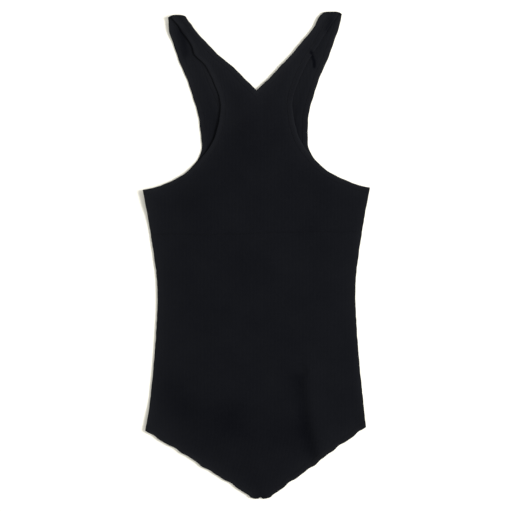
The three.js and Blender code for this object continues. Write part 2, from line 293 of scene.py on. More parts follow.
LEG_LINE = bezier(
    (CROTCH_HALF, SEAM_TURN), (CROTCH_HALF + 52 * MM, SEAM_TURN + 38 * MM),
    (HIP[0] - 60 * MM, HIP[1] - 40 * MM), HIP)
SIDE_LINE = through([
    HIP, ((2 * WAIST[0] + HIP[0]) / 3, (HIP[1] + WAIST[1]) / 2), WAIST, UNDERBUST, UNDERARM])


def armhole_line(chest, strap_outer, lower_pull, upper_pull, strap_pull):
    """The cut edge from the underarm in to the chest and up to the end of the strap."""
    lower = bezier(
        UNDERARM, (UNDERARM[0] - 62 * MM, UNDERARM[1] + 12 * MM),
        (chest[0], chest[1] - lower_pull), chest)
    upper = bezier(
        chest, (chest[0], chest[1] + upper_pull),
        (strap_outer - strap_pull[0], SHOULDER_RISE - strap_pull[1]), (strap_outer, SHOULDER_RISE))
    return np.concatenate([lower, upper[1:]])


FRONT_ARMHOLE = armhole_line(FRONT_CHEST, FRONT_STRAP_OUTER, 68 * MM, 38 * MM, (35 * MM, 50 * MM))
BACK_ARMHOLE = armhole_line(BACK_CHEST, BACK_STRAP_OUTER, 26 * MM, 80 * MM, (15 * MM, 75 * MM))
NECK_PULL = np.array((STRAP_INNER - 38 * MM, SHOULDER_RISE - 52 * MM))
NECK_POINT = np.array((0, FRONT_NECK_RISE))
NECK_END = np.array((STRAP_INNER, SHOULDER_RISE))
FRONT_NECK = bezier(
    NECK_POINT, NECK_POINT + (NECK_PULL - NECK_POINT) * 2 / 3,
    NECK_END + (NECK_PULL - NECK_END) * 2 / 3, NECK_END)
BACK_NECK = bezier(
    (0, BACK_NECK_RISE), (30 * MM, BACK_NECK_RISE),
    (BACK_STRAP_INNER - 52 * MM, SHOULDER_RISE - 76 * MM), (BACK_STRAP_INNER, SHOULDER_RISE))


def waved(line, size, lengths, phase, hold=14 * MM):
    """The line wandering to each side of itself, but not at its ends."""
    run = run_of(line)
    along = np.gradient(line, axis=0)
    along /= np.linalg.norm(along, axis=1)[:, None]
    across = np.stack([-along[:, 1], along[:, 0]], axis=1)
    held = smooth(run / hold) * smooth((run[-1] - run) / hold)
    wave = sum(np.sin(2 * math.pi * run / w + phase * (i + 1)) * share
               for i, (w, share) in enumerate(lengths))
    return line + across * (wave * held * size)[:, None]


class Edge:
    """A line of the cut cloth and, at each point, the way into the cloth from there."""

    def __init__(self, at, way):
        self.at = at
        self.way = way

    def inset(self, distance):
        """The line that runs a distance in from the edge."""
        return self.at + self.way * distance

    def mirrored(self):
        """The same edge on the wearer's right half."""
        return Edge(self.at * (-1, 1), self.way * (-1, 1))

    def across_centre(self):
        """The edge of a neckline right round, from the wearer's right shoulder to the left one."""
        other = self.mirrored()
        return Edge(np.concatenate([other.at[::-1], self.at[1:]]),
                    np.concatenate([other.way[::-1], self.way[1:]]))


def edge_along(points, turn, first_way, last_way):
    """The Edge along the points, with turn 1 where the cloth is on their left and -1 on their right."""
    steps = np.diff(points, axis=0)
    steps /= np.linalg.norm(steps, axis=1)[:, None]
    normals = np.stack([-steps[:, 1] * turn, steps[:, 0] * turn], axis=1)
    before = np.concatenate([normals[:1], normals])
    after = np.concatenate([normals, normals[-1:]])
    way = before + after
    way[0], way[-1] = first_way, last_way
    way /= np.linalg.norm(way, axis=1)[:, None]
    against = before.copy()
    against[0] = after[0]
    return Edge(points, way / (way * against).sum(axis=1)[:, None])


def direction(a, b):
    """The way from a to b, with length 1."""
    return (b - a) / np.linalg.norm(b - a)


# The way of the side at the hip and at the underarm, and the distance between the points of an edge.
UP_SIDE = direction(SIDE_LINE[0], SIDE_LINE[1])
DOWN_SIDE = direction(SIDE_LINE[-1], SIDE_LINE[-2])
EDGE_STEP = 2.4 * MM


def edges(lay):
    """The bound edges of the wearer's left half, a little uneven, each way in from its edge."""
    wave = lay.edge_wave
    leg = waved(LEG_LINE, wave, ((33 * MM, 0.8), (19 * MM, 0.45), (71 * MM, 0.7)), 1.3)
    front_arm = waved(FRONT_ARMHOLE, wave, ((61 * MM, 0.5), (23 * MM, 0.22)), 0.6)
    back_arm = waved(BACK_ARMHOLE, wave, ((57 * MM, 0.5), (21 * MM, 0.25)), 2.1)
    front_neck = waved(FRONT_NECK, wave, ((47 * MM, 0.35), (18 * MM, 0.2)), 0.9)
    back_neck = waved(BACK_NECK, wave, ((52 * MM, 0.35), (20 * MM, 0.2)), 1.7)
    cut = {
        "leg": (leg, 1, (-1, 0), UP_SIDE),
        "front_armhole": (front_arm, 1, DOWN_SIDE, (-1, 0)),
        "back_armhole": (back_arm, 1, DOWN_SIDE, (-1, 0)),
        "front_neck": (front_neck, -1, (0, -1), (1, 0)),
        "back_neck": (back_neck, -1, (0, -1), (1, 0)),
    }
    return {name: edge_along(spaced(line, EDGE_STEP), *ways) for name, (line, *ways) in cut.items()}


def side_line(lay):
    """The side of the body from hip to underarm, a little uneven."""
    return waved(SIDE_LINE, lay.edge_wave, ((64 * MM, 0.35), (27 * MM, 0.25)), 0.4)


# ---------------------------------------------------------------- how the cloth lies


def distance(line, xy):
    """Distance from each point to a line, with both halves of the garment folded together."""
    p = np.stack([np.abs(xy[:, 0]), xy[:, 1]], axis=1)
    least = np.full(len(p), np.inf)
    for a, b in zip(line[:-1], line[1:]):
        d = b - a
        t = np.clip(((p - a) @ d) / (d @ d), 0, 1)
        least = np.minimum(least, np.hypot(*(p - a - t[:, None] * d).T))
    return least


# The outlines again in coarse steps, for measuring how far places are from them.
COARSE = 9 * MM
LEG_C, SIDE_C, FRONT_ARM_C, BACK_ARM_C, FRONT_NECK_C, BACK_NECK_C = (
    spaced(line, COARSE)
    for line in (LEG_LINE, SIDE_LINE, FRONT_ARMHOLE, BACK_ARMHOLE, FRONT_NECK, BACK_NECK))
SHOULDER_C = np.array([(STRAP_INNER, SHOULDER_RISE), (BACK_STRAP_OUTER, SHOULDER_RISE)])
CROTCH_C = np.array([(0, SEAM_TURN), (CROTCH_HALF, SEAM_TURN)])


def nearest(lines, xy):
    """Distance from each point to the nearest of the lines."""
    return np.min([distance(line, xy) for line in lines], axis=0)


def sewn(xy):
    """Distance to the seams that join front and back."""
    return nearest((SIDE_C, SHOULDER_C, CROTCH_C), xy)


def front_free(xy):
    """Distance to the bound edges of the front."""
    return nearest((LEG_C, FRONT_ARM_C, FRONT_NECK_C), xy)


def back_free(xy):
    """Distance to the bound edges of the back."""
    return nearest((LEG_C, BACK_ARM_C, BACK_NECK_C), xy)


def stroke(xy, points, left, right):
    """1 along a line drawn down through the points, fading over left and right to its two sides."""
    least = np.full(len(xy), np.inf)
    side = np.zeros(len(xy))
    points = np.array(points) * MM
    for a, b in zip(points[:-1], points[1:]):
        d = b - a
        t = np.clip(((xy - a) @ d) / (d @ d), 0, 1)
        away = np.hypot(*(xy - a - t[:, None] * d).T)
        turn = d[0] * (xy[:, 1] - a[1]) - d[1] * (xy[:, 0] - a[0])
        side = np.where(away < least, turn, side)
        least = np.minimum(least, away)
    return bell(least / (np.where(side > 0, right, left) * MM))


# Folds in the front: the line that each follows down the garment, how far it reaches to the left
# and to the right of that, all in millimetres, and its height as a share of the tallest one.
# A crease has a height below nought.
FOLDS = (
    (((77, 178), (82, 146), (87, 108), (95, 66)), 9, 23, 1.0),
    (((140, 178), (144, 146), (149, 116)), 6, 9, -0.2),
    (((-128, 150), (-96, 130), (-62, 138)), 22, 22, -0.28),
    (((-60, 100), (10, 84), (55, 92)), 24, 24, -0.2),
    (((-66, 170), (-50, 130), (-30, 96)), 30, 40, 0.26),
    (((-140, 330), (-132, 250), (-136, 170)), 16, 16, 0.1),
    (((-100, 470), (-60, 500), (-30, 540)), 20, 20, 0.1),
    (((96, 452), (62, 478), (40, 520)), 22, 22, 0.1),
    (((12, 600), (10, 570), (12, 545)), 4, 9, -0.1),
    (((31, 498), (34, 485), (33, 466)), 2.2, 2.2, -0.15),
    (((84, 670), (88, 664), (91, 656), (91.5, 648)), 1.5, 2.4, -0.5),
    (((117, 716), (110, 704)), 4.5, 4.5, -0.2),
    (((-86, 690), (-70, 664), (-52, 640)), 9, 9, 0.3),
)


def folds(xy, lay):
    """Height that the soft folds and creases add to the front."""
    height = sum(stroke(xy, *line) * share for *line, share in FOLDS) * lay.fold
    x, y = xy[:, 0] / MM, xy[:, 1] / MM
    wide = np.sin(x / 31 + 0.7) * np.sin(y / 47 + 0.4) + 0.6 * np.sin(x / 19 - y / 53 + 2.1)
    fine = 0.22 * np.sin(x / 5.3 + 1.5 * np.sin(y / 23)) * np.sin(y / 17 + 0.3)
    return (height + (wide + fine) * lay.ripple) * arch(sewn(xy) / (40 * MM))


# The stitched line over the band, and the distance between rows of the mesh beside it.
UNDERBUST_LINE = UNDERBUST[1] + BAND_WIDTH / 2 - 2 * MM
FURROW_ROW = 0.55 * MM


def wander(x):
    """How far the stitched line across the front strays up or down."""
    return 0.8 * MM * np.sin(x / (37 * MM)) + 0.4 * MM * np.sin(x / (11 * MM))


def furrow(xy):
    """Depth of the furrow that the stitching over the band of elastic draws across the front."""
    return 0.75 * MM * bell((xy[:, 1] - UNDERBUST_LINE - wander(xy[:, 0])) / (1.1 * MM))


def front_base(xy, lay):
    """Height of the foot of the front's bindings, which lie on the back's."""
    rise = arch(sewn(xy) / OPEN_REACH) * (0.2 + 0.8 * smooth(front_free(xy) / (60 * MM)))
    return FRONT_REST + OPEN_GAP * rise + folds(xy, lay)


def binding_base(xy, lay, of_back):
    """Height of the foot of the bindings of the back, which lies on the floor, or of the front."""
    return np.zeros(len(xy)) if of_back else front_base(xy, lay)


def back_level(past):
    """Height of the back panel, which sags to the floor past its bindings."""
    return PANEL_LEVEL * (1 - smooth(past / BACK_SAG_REACH))


def back_panel_z(xy):
    """Height of the underside of the back panel, a little lifted along the side seams."""
    past = back_free(xy) - BINDING - BINDING_CLEAR
    lift = EDGE_LIFT * (1 - arch(distance(SIDE_C, xy) / EDGE_LIFT_REACH))
    return back_level(past) + lift * smooth(past / BINDING)


def front_panel_z(xy, lay):
    """Height of the underside of the front panel, which drops to the side seams and rolls over."""
    level = front_base(xy, lay) + PANEL_LEVEL
    at_seam = back_level(back_free(xy) - BINDING - BINDING_CLEAR)
    side = distance(SIDE_C, xy)
    near = 1 - arch(side / SIDE_DROP_REACH)
    past = smooth((front_free(xy) - BINDING - BINDING_CLEAR) / SIDE_DROP_REACH)
    dropped = level + (at_seam + SIDE_MEETING - level) * near * past
    roll = 1 - np.sqrt(np.clip(1 - (1 - np.clip(side / EDGE_ROLL_REACH, 0, 1)) ** 2, 0, 1))
    return dropped - EDGE_ROLL * roll * past


# Places where the nap is crushed darker, or brushed paler below nought, given as the folds are.
# Painted shade, given as the folds are: a pocket under a lifted strap edge, creases on the other strap,
# hollows low on the front and the shaded side of the long fold. A share below nought is a painted
# highlight along one side.
PAINTED_SHADE_AND_LIGHT = (
    (((-110, 706), (-105, 690), (-103, 674)), 8, 5, 0.48),
    (((-168, 460), (-150, 320), (-166, 110)), 42, 42, -0.16),
    (((84, 672), (88, 666), (91, 658), (91.5, 650)), 1.8, 2.4, 1.3),
    (((116, 718), (110, 706)), 5, 5, 0.5),
    (((-130, 158), (-95, 134), (-40, 128)), 28, 28, 0.16),
    (((-40, 110), (20, 92), (55, 100)), 26, 26, 0.14),
    (((63, 182), (68, 146), (73, 108), (82, 66)), 11, 9, 0.22),
)


# How far in the painted sheen reaches from the bound edges and the sides, and where the paler straps
# begin.
PALE_REACH = 8 * MM
PALE_SIDE_REACH = 7 * MM
STRAP_FOOT = 560 * MM


def painted_sheen_and_shade(xy, free, of_back=False):
    """Painted light on the knit: painted sheen along its edges and sides, a paler tone up the straps,
    and painted shade in creases and pockets.
    """
    # Painted sheen along the bound edges and along the sides, and a paler tone up the straps.
    edge = np.exp(-free / PALE_REACH)
    side = 0.75 * np.exp(-distance(SIDE_C, xy) / PALE_SIDE_REACH)
    strap = 0.26 * smooth((xy[:, 1] - STRAP_FOOT) / (110 * MM))
    # Painted shade from the list above, which turns into painted highlight where its share is below
    # nought.
    painted_shade = sum(stroke(xy, *line) * share for *line, share in PAINTED_SHADE_AND_LIGHT)
    # On the wearer's left strap, painted shade along the front armhole edge darkens its lit rim.
    if not of_back:
        over = smooth((xy[:, 1] - STRAP_FOOT) / (60 * MM)) * (xy[:, 0] > 0)
        painted_shade = painted_shade + 0.5 * over * bell(distance(FRONT_ARM_C, xy) / (6 * MM))
    return np.clip(0.76 * np.maximum(edge, side) + strap - painted_shade, -0.5, 1)


def tuck(xy):
    """How far the edges of the wearer's right front strap are rucked in towards the centre."""
    rise = xy[:, 1] / MM
    in_and_out = smooth((727 - rise) / 12) * smooth((rise - 673) / 15) - bell((rise - 671) / 8)
    ruck = STRAP_RUCK * in_and_out * bell(distance(FRONT_ARM_C, xy) / (17 * MM))
    neck = NECK_TUCK * bell((rise - 648) / 26) * bell(distance(FRONT_NECK_C, xy) / (28 * MM))
    return (ruck + neck) * (xy[:, 0] < 0)


def slack(xy):
    """How far the end of a strap leans to the side, and how far its corners sink."""
    across = (np.abs(xy[:, 0]) - STRAP_MIDDLE) * 2 / STRAP_WIDTH
    inner, outer = np.clip(-across, 0, 1.3) ** 2, np.clip(across, 0, 1.3) ** 3
    end = smooth((xy[:, 1] - 706 * MM) / (22 * MM)) * MM
    lean = np.where(xy[:, 0] < 0, 3.6, -0.6 - 1.6 * inner)
    sink = np.where(xy[:, 0] < 0, 1.7, -0.8) * inner + 2.2 * outer
    return lean * end, sink * end


def off_floor(xy):
    """How far both layers stand off the floor: along the sides, at one underarm and one strap end."""
    corner = np.hypot(np.abs(xy[:, 0]) - UNDERARM[0], xy[:, 1] - UNDERARM[1])
    side = SIDE_OFF_FLOOR * bell(distance(SIDE_C, xy) / (12 * MM))
    underarm = UNDERARM_OFF_FLOOR * bell(corner / (30 * MM))
    strap = STRAP_OFF_FLOOR * smooth((xy[:, 1] - 680 * MM) / (50 * MM))
    return side + (underarm + strap) * (xy[:, 0] < 0)


def laid(xy, z, of_back=False):
    """Points in the frame of places on the cut cloth at height z, with the skew it lies in.

    The straps bow and lean, one hip corner and one underarm are pulled out, and the crotch is narrowed.
    """
    up = (xy[:, 1] - UNDERARM[1]) / (SHOULDER_RISE - UNDERARM[1])
    bow = BACK_STRAP_SWAY * np.sin(math.pi * np.clip(up, 0, 1)) ** 2 if of_back else 0
    sway = SHOULDER_SWAY * smooth(2 * up - 1) + CROTCH_SWAY * smooth(1 - xy[:, 1] / HIP[1]) + bow
    lean, sink = slack(xy)
    at_arm, at_hip = (
        bell(np.hypot(*(xy - (-half, rise)).T) / CORNER_REACH) for half, rise in (UNDERARM, HIP))
    foot = smooth(1 - xy[:, 1] / CROTCH_REACH)
    x = xy[:, 0] * (1 - CROTCH_NARROWING * foot) + sway + lean - HIP_PULL * at_hip
    if not of_back:
        x += tuck(xy)
    y = xy[:, 1] - sink + xy[:, 0] * (BODY_LEAN + STRAP_LEAN * smooth(up)) + UNDERARM_PULL * at_arm
    y += CROTCH_RISE * foot * np.clip(np.abs(xy[:, 0]) / CROTCH_HALF, 0, 1.2) ** 3
    return np.stack([x + PLACE[0], y + PLACE[1], z + off_floor(xy)], axis=1)


# ---------------------------------------------------------------- meshes


def piece_name(node):
    """The name of the finished piece that stands for a plain node of the frame."""
    return f"{node}_soft"


def new_object(name, points, faces, uv, painted_light):
    """A piece of cloth. uv is in metres on the flat cloth, and the last argument is how much paler the
    knit is painted there: painted sheen and paler straps above nought, painted shade below.
    """
    mesh = bpy.data.meshes.new(piece_name(name))
    mesh.from_pydata(points.tolist(), [], faces)
    corner = np.zeros(len(mesh.loops), np.int32)
    mesh.loops.foreach_get("vertex_index", corner)
    layer = mesh.uv_layers.new(name="Cloth")
    layer.data.foreach_set("uv", np.asarray(uv, np.float32)[corner].ravel())
    # The attribute of painted light: painted sheen and paler straps above nought, painted shade below
    # it.
    painted_light_layer = mesh.attributes.new("painted_light", "FLOAT", "POINT")
    painted_light_layer.data.foreach_set("value", np.broadcast_to(painted_light, len(points)).astype(np.float32))
    mesh.polygons.foreach_set("use_smooth", np.ones(len(mesh.polygons), bool))
    mesh.validate()
    made = bpy.data.objects.new(piece_name(name), mesh)
    bpy.context.scene.collection.objects.link(made)
    return made


def select_only(*objects):
    for other in bpy.context.selected_objects:
        other.select_set(False)
    for chosen in objects:
        chosen.select_set(True)
        bpy.context.view_layer.objects.active = chosen


def apply(made, kind, **settings):
    """Adds a modifier with the settings and applies it."""
    select_only(made)
    modifier = made.modifiers.new(kind.title(), kind)
    for key, value in settings.items():
        setattr(modifier, key, value)
    bpy.ops.object.modifier_apply(modifier=modifier.name)


def finish_piece(made, material, slot, *nodes):
    """Gives a piece its material, hangs it on the root body and hides the nodes of the frame that it
    stands for. The slot is not used.
    """
    made.data.materials.append(material)
    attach(made, "root")
    if nodes:
        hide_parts(*nodes)


def column_shares(count):
    """Where the columns of a half panel stand from its inner line out, closer by its edge."""
    t = np.linspace(0, 1, count)
    shares = 1 - (1 - t) * (0.35 + 0.65 * (1 - t) ** 1.2)
    close = 1 - np.array([6, 3.2, 1.6, 0.7, 0.2]) / 160
    return np.unique(np.concatenate([shares[shares < close[0] - 0.01], close, [1]]))


def cloth_grid(outer, inner, shares, step, row_gap=0.5 * MM):
    """Points and faces of a piece of cloth symmetrical about the centre, in level rows."""
    foot, top = outer[0, 1], outer[-1, 1]
    lines = [outer] if inner is None else [outer, inner]
    fixed = [foot, top] + [line[0, 1] for line in lines[1:]]
    fixed += [UNDERBUST_LINE + k * FURROW_ROW for k in range(-6, 7)]
    fixed = [y for y in fixed if foot <= y <= top]
    rows = list(fixed)
    for y in np.sort(np.concatenate([spaced(line, step)[:, 1] for line in lines])):
        if min(abs(y - r) for r in fixed + rows[-1:]) > row_gap:
            rows.append(y)
    rows = np.array(sorted(rows))
    points, faces, known = [], [], {}

    def corner(x, y):
        key = (round(x * 1e6), round(y * 1e6))
        if key not in known:
            known[key] = len(points)
            points.append((x, y))
        return known[key]

    right = np.interp(rows, outer[:, 1], outer[:, 0])
    left = np.zeros(len(rows))
    if inner is not None:
        above = rows > inner[0, 1] + 1e-9
        left[above] = np.interp(rows[above], inner[:, 1], inner[:, 0])
    for half in (1, -1):
        grid = [[corner(half * (a + (b - a) * s), y) for s in shares]
                for y, a, b in zip(rows, left, right)]
        for low, high in zip(grid[:-1], grid[1:]):
            for j in range(len(shares) - 1):
                face = [low[j], low[j + 1], high[j + 1], high[j]]
                face = [v for i, v in enumerate(face) if v != face[i - 1]]
                if len(face) > 2:
                    faces.append(face if half > 0 else face[::-1])
    return np.array(points), faces


def grid_faces(rows, columns):
    """Quads over a grid of points that are numbered along each row in turn."""
    return [[i * columns + j, i * columns + j + 1, (i + 1) * columns + j + 1, (i + 1) * columns + j]
            for i in range(rows - 1) for j in range(columns - 1)]


def sheet_of(name, xy, faces, height, thickness, painted_light, of_back=False):
    """A flat cut piece laid with its underside at the height, and given its thickness upwards."""
    made = new_object(name, laid(xy, height, of_back), faces, xy, painted_light)
    apply(made, "SOLIDIFY", thickness=thickness, offset=1, use_rim=True)
    return made


def joined_outline(*lines):
    """One outline from lines that follow each other upwards, with every point above the last."""
    points = np.concatenate(lines)
    keep = [0]
    for i in range(1, len(points)):
        if points[i, 1] > points[keep[-1], 1] + 1e-6:
            keep.append(i)
    return points[keep]


# A folded binding: the inset of each row of stitches from its edge, how deep the stitches sit and
# how far from its ends they stop, and how it rounds and thins.
STITCH_ROWS = (5.1 * MM, 6.9 * MM)
STITCH_SUNK = 0.12 * MM
STITCH_END = 1.5 * MM
FOLD_ROUND = 1.9 * MM
TOP_FALL = 0.42 * MM


def top_fall(inset):
    """How far the top of a folded binding has fallen at an inset from its edge."""
    return TOP_FALL * smooth((inset - 3 * MM) / (5 * MM))


def binding_section(count=9):
    """Corners of a folded binding as (inset, height), round from the foot of its lower ply."""
    turn = np.linspace(-math.pi / 2, math.pi / 2, count)
    half = STACK / 2
    outer = np.stack([FOLD_ROUND * (1 - np.cos(turn)), half * (1 + np.sin(turn))], axis=1)
    inner = np.stack([PLY + (FOLD_ROUND - PLY) * (1 - np.cos(turn)),
                      half + (half - PLY) * np.sin(turn)], axis=1)[::-1]
    at = np.array([3.2, 4.2, 4.8, 5.1, 5.4, 6.0, 6.6, 6.9, 7.2, 7.7, 8.0]) * MM
    sunk = 0.1 * MM * sum(bell((at - row) / (0.3 * MM)) for row in STITCH_ROWS)
    top = np.stack([at, STACK - top_fall(at) - sunk], axis=1)
    under_top = np.stack([at[::-2], (STACK - PLY - 0.1 * MM) * np.ones(6)], axis=1)
    low = np.array([(5 * MM, 0), (4 * MM, PLY), (BINDING, PLY), (BINDING, 0)])
    return np.concatenate([low[:1], outer, top, under_top, inner, low[1:]])


def flat_section(inset, width, level, thickness):
    """A flat tape with softly rounded long edges."""
    soft = thickness * 0.35
    a, b = inset, inset + width
    low, high = level, level + thickness
    return np.array([
        (a + soft, low), (b - soft, low), (b, low + soft), (b, high - soft),
        (b - soft, high), (a + soft, high), (a, high - soft), (a, low + soft)])


def strip(name, edge, section, base, of_back=False, flutter=0):
    """A strip of cloth or tape that follows an edge with the given section, standing on base."""
    count, around = len(edge.at), len(section)
    foot = edge.inset(BINDING)
    low, high = base(edge.at), base(foot)
    share = section[:, 0] / BINDING
    xy = edge.at[:, None] + (foot - edge.at)[:, None] * share[None, :, None]
    z = low[:, None] + (high - low)[:, None] * share + section[:, 1]
    run = run_of(edge.at)
    if flutter:
        wave = np.sin(run / (2.3 * MM)) + 0.6 * np.sin(run / (5.1 * MM) + 1)
        z = z + flutter * wave[:, None] * smooth(section[:, 1] / STACK - 0.3)
    xy = xy.reshape(-1, 2)
    points = laid(xy, z.ravel(), of_back)
    painted_light = painted_sheen_and_shade(xy, np.tile(section[:, 0], count), of_back)
    uv = np.stack(np.broadcast_arrays(run[:, None], run_of(section)[None, :]), axis=-1).reshape(-1, 2)
    faces = []
    for i in range(count - 1):
        for j in range(around):
            a, b = i * around + j, i * around + (j + 1) % around
            faces.append([a, b, b + around, a + around])
    faces.append(list(range(around))[::-1])
    faces.append(list(range((count - 1) * around, count * around)))
    made = new_object(name, points, faces, uv, painted_light)
    face_outwards(made)
    return made


def face_outwards(made):
    """Turns all the faces of a closed piece to look outwards."""
    select_only(made)
    bpy.ops.object.mode_set(mode="EDIT")
    bpy.ops.mesh.select_all(action="SELECT")
    bpy.ops.mesh.normals_make_consistent(inside=False)
    bpy.ops.object.mode_set(mode="OBJECT")


def one_stitch(length, radius):
    """A short fat thread lying along X, rounded at its ends."""
    select_only()
    bpy.ops.mesh.primitive_uv_sphere_add(segments=6, ring_count=5, radius=radius)
    made = bpy.context.object
    bpy.ops.object.mode_set(mode="EDIT")
    bpy.ops.mesh.select_all(action="SELECT")
    bpy.ops.transform.rotate(value=math.pi / 2, orient_axis="Y", center_override=(0, 0, 0))
    bpy.ops.transform.resize(value=(length / (2 * radius), 1, 0.8), center_override=(0, 0, 0))
    bpy.ops.object.mode_set(mode="OBJECT")
    points = np.array([v.co for v in made.data.vertices])
    faces = [list(p.vertices) for p in made.data.polygons]
    bpy.data.objects.remove(made)
    return points, faces


def stitch_row(points, length, radius):
    """Copies of one stitch from each point of a line in space to the next but one."""
    form, form_faces = one_stitch(length, radius)
    middle = (points[1:] + points[:-1]) / 2
    along = points[1:] - points[:-1]
    along /= np.linalg.norm(along, axis=1)[:, None]
    across = np.stack([-along[:, 1], along[:, 0], np.zeros(len(along))], axis=1)
    across /= np.linalg.norm(across, axis=1)[:, None]
    up = np.cross(along, across)
    placed = (middle[:, None] + form[None, :, :1] * along[:, None]
              + form[None, :, 1:2] * across[:, None] + form[None, :, 2:] * up[:, None])
    count = len(form)
    faces = [[v + i * count for v in face] for i in range(len(middle)) for face in form_faces]
    return placed.reshape(-1, 3), faces


def stitches(name, rows, length=2.1 * MM, radius=0.16 * MM):
    """One piece holding all the rows of stitches."""
    points, faces, start = [], [], 0
    for row in rows:
        p, f = stitch_row(row, length, radius)
        points.append(p)
        faces += [[v + start for v in face] for face in f]
        start += len(p)
    points = np.concatenate(points)
    made = new_object(name, points, faces, points[:, :2], 0.0)
    face_outwards(made)
    return made


# ---------------------------------------------------------------- materials


class Signal:
    """A value in a shader. Sums on it add Math nodes."""

    def __init__(self, shader, socket):
        self.shader = shader
        self.socket = socket

    def _math(self, operation, *values):
        made = self.shader.node("ShaderNodeMath", {"operation": operation}, dict(enumerate(values)))
        return Signal(self.shader, made.outputs[0])

    def __add__(self, other):
        return self._math("ADD", self, other)

    def __radd__(self, other):
        return self._math("ADD", other, self)

    def __sub__(self, other):
        return self._math("SUBTRACT", self, other)

    def __rsub__(self, other):
        return self._math("SUBTRACT", other, self)

    def __mul__(self, other):
        return self._math("MULTIPLY", self, other)

    def __rmul__(self, other):
        return self._math("MULTIPLY", other, self)

    def __truediv__(self, other):
        return self._math("DIVIDE", self, other)

    def __abs__(self):
        return self._math("ABSOLUTE", self)

    def sine(self):
        return self._math("SINE", self)

    def clamped(self):
        return self._math("MAXIMUM", self._math("MINIMUM", self, 1.0), 0.0)


class Finish:
    """A material under construction, with its nodes."""

    def __init__(self, name, roughness, sheen=0.0, specular=0.3):
        self.material = bpy.data.materials.new(name)
        self.material.use_nodes = True
        self.tree = self.material.node_tree
        self.shader = self.tree.nodes["Principled BSDF"]
        self.put("Roughness", roughness)
        self.put("Sheen Weight", sheen)
        self.put("Sheen Roughness", 0.45)
        self.put("Sheen Tint", (0.86, 0.93, 1.0, 1.0))
        self.put("Specular IOR Level", specular)

    def put(self, name, value, target=None):
        socket = (target or self.shader).inputs[name]
        if isinstance(value, Signal):
            self.tree.links.new(value.socket, socket)
        else:
            socket.default_value = value

    def node(self, kind, settings=None, sockets=None):
        made = self.tree.nodes.new(kind)
        for key, value in (settings or {}).items():
            setattr(made, key, value)
        for name, value in (sockets or {}).items():
            self.put(name, value, made)
        return made

    def cloth_uv(self):
        """The place on the flat cloth, in metres, as a vector and as its two parts."""
        place = Signal(self, self.node("ShaderNodeUVMap", {"uv_map": "Cloth"}).outputs["UV"])
        parts = self.node("ShaderNodeSeparateXYZ", sockets={"Vector": place})
        return place, Signal(self, parts.outputs["X"]), Signal(self, parts.outputs["Y"])

    def noise(self, place, scale, detail=2.0):
        made = self.node("ShaderNodeTexNoise", sockets={
            "Vector": place, "Scale": scale, "Detail": detail, "Roughness": 0.55})
        return Signal(self, made.outputs["Fac"])

    # Reads the attribute of painted light: painted sheen and paler straps above nought, painted shade
    # below it.
    def painted_light(self):
        made = self.node("ShaderNodeAttribute", {"attribute_name": "painted_light"})
        return Signal(self, made.outputs["Fac"])

    def mix(self, share, low, high):
        made = self.node("ShaderNodeMix", {"data_type": "RGBA", "clamp_factor": True})
        self.put(0, share, made)
        self.put(6, low, made)
        self.put(7, high, made)
        return Signal(self, made.outputs[2])

    def bump(self, height, depth, strength=1.0):
        made = self.node("ShaderNodeBump", sockets={
            "Strength": strength, "Distance": depth, "Height": height})
        self.put("Normal", Signal(self, made.outputs["Normal"]))


def waves(place, width, turn=None):
    """A rise from 0 to 1 and back over every width of the place, begun further on by turn."""
    angle = (place / width) * math.tau
    if turn is not None:
        angle = angle + turn
    return angle.sine() * 0.5 + 0.5


def opaque(colour, factor=1.0):
    return (*(channel * factor for channel in colour), 1.0)


def rib_knit(name, knit):
    """Fine rib knit: upright ribs of small leaning stitches, with soft uneven fibres."""
    finish = Finish(name, 0.9, sheen=0.01, specular=0.06)
    place, u, v = finish.cloth_uv()
    drift = (finish.noise(place, 34.0) - 0.5) * 1.1
    rib_turn = (u / knit.rib) * math.tau + drift
    ridge = rib_turn.sine() * 0.5 + 0.5
    lean = abs((rib_turn * 0.5).sine()) * 2.4
    loop = waves(v, knit.course, lean)
    fibre = finish.noise(place, 2600.0, 3.0)
    patch = finish.noise(place, 16.0, 3.0)
    broken = (finish.noise(place, 190.0, 2.0) * 2.2 - 0.6).clamped()
    height = ridge * 0.72 + loop * ridge * 0.2 + fibre * 0.16
    finish.bump(height, knit.rib_depth, 0.8)
    # The colour's tone comes from three parts. The attribute of painted light gives painted sheen on
    # edges, sides and seam turns, paler straps, and painted shade in creases and pockets. Painted shade
    # in the rib furrows leaves the rib tops lighter where ribs are not broken. Random paler patches and
    # fibres are added.
    tone = finish.painted_light() * 0.6 + ridge * 0.12 * broken + patch * 0.26 + fibre * 0.12 + 0.09
    finish.put("Base Color", finish.mix(
        tone.clamped(), opaque(knit.colour), opaque(knit.sheen_and_pale_colour)))
    finish.put("Roughness", (0.84 + fibre * 0.14).clamped())
    return finish.material


def braided_elastic(name):
    """Ribbed braided elastic tape."""
    finish = Finish(name, 0.7, sheen=0.05)
    place, u, v = finish.cloth_uv()
    cross = waves(u, 0.9 * MM)
    cord = waves(v, 1.1 * MM)
    fibre = finish.noise(place, 2200.0)
    finish.bump(cross * 0.4 + cord * 0.5 + fibre * 0.1, 0.15 * MM, 0.8)
    finish.put("Base Color", finish.mix(
        (cord * cross + fibre * 0.3).clamped(), (0.012, 0.012, 0.013, 1), (0.024, 0.024, 0.026, 1)))
    finish.put("Roughness", (0.62 + fibre * 0.2).clamped())
    return finish.material


